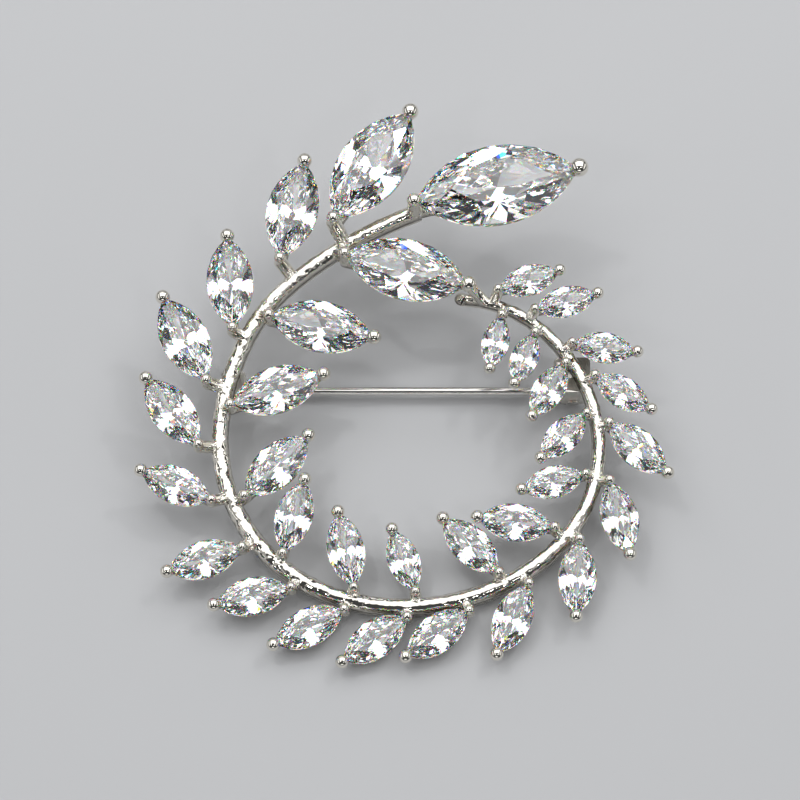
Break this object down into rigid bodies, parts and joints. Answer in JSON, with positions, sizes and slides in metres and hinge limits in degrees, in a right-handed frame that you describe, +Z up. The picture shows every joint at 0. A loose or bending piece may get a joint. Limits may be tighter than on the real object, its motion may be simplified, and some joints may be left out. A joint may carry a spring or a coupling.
{
  "type": "olive branch brooch",
  "caption": "Open wreath brooch in the form of an olive branch: leaf-shaped clear stones in prong settings on a domed wire stem, with a hinged pin behind.",
  "frame": {"origin": "on the surface the brooch lies on, under the middle of its outline seen from above", "axes": "+Z up from the surface, +Y towards the top of the wreath, +X to the wearer's left, where the hinge is; the brooch lies face up, with its top raised by its pin fittings"},
  "size_m": [0.0502, 0.0536, 0.0135],
  "materials": {
    "cast_metal": "polished rhodium plate over cast brass",
    "pin_metal": "drawn steel wire, plated",
    "clear_stone": "cut and polished cubic zirconia"
  },
  "bodies": {
    "brooch": {"branch_frame": "cast_metal", "hinge_rivet": "pin_metal", "terminal_stone": "clear_stone", "outer_stone_01": "clear_stone", "outer_stone_02": "clear_stone", "outer_stone_03": "clear_stone", "outer_stone_04": "clear_stone", "outer_stone_05": "clear_stone", "outer_stone_06": "clear_stone", "outer_stone_07": "clear_stone", "outer_stone_08": "clear_stone", "outer_stone_09": "clear_stone", "outer_stone_10": "clear_stone", "outer_stone_11": "clear_stone", "outer_stone_12": "clear_stone", "outer_stone_13": "clear_stone", "outer_stone_14": "clear_stone", "outer_stone_15": "clear_stone", "outer_stone_16": "clear_stone", "outer_stone_17": "clear_stone", "outer_stone_18": "clear_stone", "outer_stone_19": "clear_stone", "inner_stone_01": "clear_stone", "inner_stone_02": "clear_stone", "inner_stone_03": "clear_stone", "inner_stone_04": "clear_stone", "inner_stone_05": "clear_stone", "inner_stone_06": "clear_stone", "inner_stone_07": "clear_stone", "inner_stone_08": "clear_stone", "inner_stone_09": "clear_stone", "inner_stone_10": "clear_stone", "inner_stone_11": "clear_stone", "inner_stone_12": "clear_stone", "inner_stone_13": "clear_stone", "inner_stone_14": "clear_stone"},
    "pin": {"pin_stem": "pin_metal"}
  },
  "joints": [
    {"name": "pin_hinge", "type": "hinge", "parent": "brooch", "child": "pin", "pos_m": [0.01634, 0.00133, 0.00129], "axis": [0, -0.9834, -0.1815], "range_deg": [0, 100]}
  ]
}
